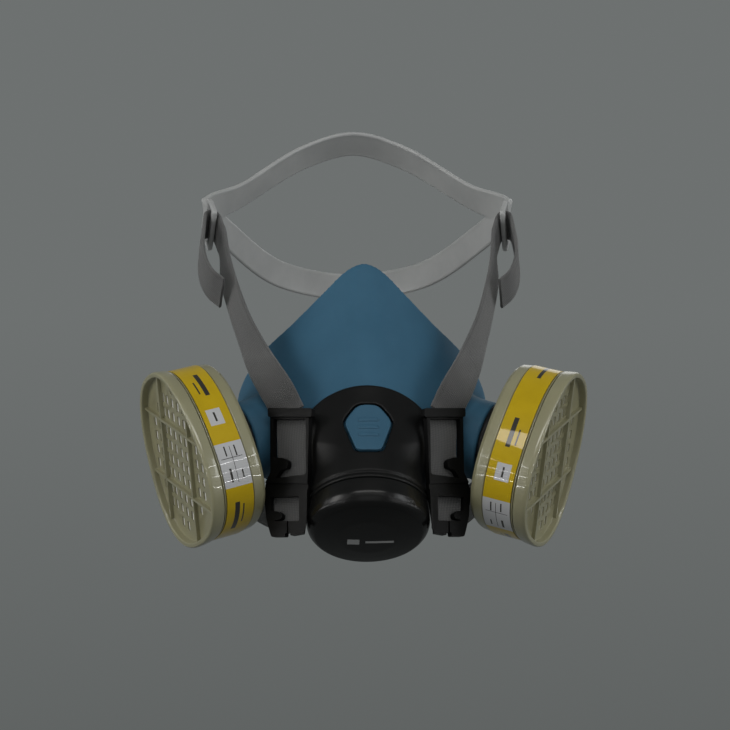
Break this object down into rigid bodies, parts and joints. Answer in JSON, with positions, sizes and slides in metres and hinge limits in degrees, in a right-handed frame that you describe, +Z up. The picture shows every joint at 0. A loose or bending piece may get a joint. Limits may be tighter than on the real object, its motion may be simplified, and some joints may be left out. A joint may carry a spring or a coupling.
{
  "type": "half-mask respirator",
  "caption": "Reusable half-mask respirator with twist-on side filter cartridges, exhalation snout, strap yokes and an elastic harness with head cradle.",
  "frame": {"origin": "middle of the face opening, on the plane that the nose bridge of the seal touches, level with the widest part of the cheek seal", "axes": "+X to the viewer's right across the face, +Y back towards the head, +Z up"},
  "size_m": [0.2166, 0.2515, 0.2243],
  "materials": {
    "blue_silicone": "satin moulded silicone",
    "badge_blue": "fine matt",
    "black_plastic": "satin moulded",
    "khaki_plastic": "glossy moulded",
    "yellow_label": "printed gloss film",
    "grey_webbing": "woven elastic",
    "cradle_grey": "satin moulded",
    "valve_rubber": "smooth",
    "filter_felt": "needled felt",
    "carbon": "granular"
  },
  "bodies": {
    "mask": {"facepiece": "blue_silicone", "front_cover": "black_plastic", "size_badge": "badge_blue", "exhale_valve_seat": "black_plastic", "left_port": "black_plastic", "left_port_nut": "black_plastic", "left_gasket": "valve_rubber", "left_yoke": "black_plastic", "left_strap_in_yoke": "grey_webbing", "right_port": "black_plastic", "right_port_nut": "black_plastic", "right_gasket": "valve_rubber", "right_yoke": "black_plastic", "right_strap_in_yoke": "grey_webbing"},
    "left_cartridge": {"left_case": "khaki_plastic", "left_grille": "khaki_plastic", "left_label": "yellow_label", "left_inner_felt": "filter_felt", "left_carbon_bed": "carbon", "left_outer_felt": "filter_felt"},
    "right_cartridge": {"right_case": "khaki_plastic", "right_grille": "khaki_plastic", "right_label": "yellow_label", "right_inner_felt": "filter_felt", "right_carbon_bed": "carbon", "right_outer_felt": "filter_felt"},
    "exhale_flap": {"exhale_flap": "valve_rubber"},
    "left_inhale_flap": {"left_inhale_flap": "valve_rubber"},
    "right_inhale_flap": {"right_inhale_flap": "valve_rubber"},
    "valve_cap": {"valve_cap": "black_plastic"},
    "head_harness": {"left_upper_strap": "grey_webbing", "right_upper_strap": "grey_webbing"},
    "cradle": {"head_cradle": "cradle_grey"},
    "neck_harness": {"left_neck_strap": "grey_webbing", "right_neck_strap": "grey_webbing", "clasp_socket": "black_plastic"},
    "clasp_tongue": {"clasp_tongue": "black_plastic"}
  },
  "joints": [
    {"name": "left_cartridge_twist", "type": "hinge", "parent": "mask", "child": "left_cartridge", "pos_m": [-0.0651, -0.017, -0.0216], "axis": [-0.8901, -0.3963, -0.225], "range_deg": [-40, 0]},
    {"name": "right_cartridge_twist", "type": "hinge", "parent": "mask", "child": "right_cartridge", "pos_m": [0.0651, -0.017, -0.0216], "axis": [0.8901, -0.3963, -0.225], "range_deg": [0, 40]},
    {"name": "exhale_flap_lift", "type": "slide", "parent": "mask", "child": "exhale_flap", "axis": [0, -0.5664, -0.8241], "range_m": [0, 0.0015], "stiffness_N_per_m": 60},
    {"name": "left_inhale_flap_lift", "type": "slide", "parent": "mask", "child": "left_inhale_flap", "axis": [0.8901, 0.3963, 0.225], "range_m": [0, 0.0015], "stiffness_N_per_m": 60},
    {"name": "right_inhale_flap_lift", "type": "slide", "parent": "mask", "child": "right_inhale_flap", "axis": [-0.8901, 0.3963, 0.225], "range_m": [0, 0.0015], "stiffness_N_per_m": 60},
    {"name": "valve_cap_pull", "type": "slide", "parent": "mask", "child": "valve_cap", "axis": [0, -0.5664, -0.8241], "range_m": [0, 0.015]},
    {"name": "head_harness_swing", "type": "hinge", "parent": "mask", "child": "head_harness", "pos_m": [0, -0.035, -0.0068], "axis": [1, 0, 0], "range_deg": [0, 35]},
    {"name": "cradle_tilt", "type": "hinge", "parent": "head_harness", "child": "cradle", "pos_m": [0, 0.073, 0.0888], "axis": [1, 0, 0], "range_deg": [-9, 9]},
    {"name": "neck_harness_swing", "type": "hinge", "parent": "mask", "child": "neck_harness", "pos_m": [0, -0.0471, -0.0605], "axis": [1, 0, 0], "range_deg": [-45, 2]},
    {"name": "clasp_release", "type": "slide", "parent": "neck_harness", "child": "clasp_tongue", "axis": [-1, 0, 0], "range_m": [0, 0.008]}
  ]
}
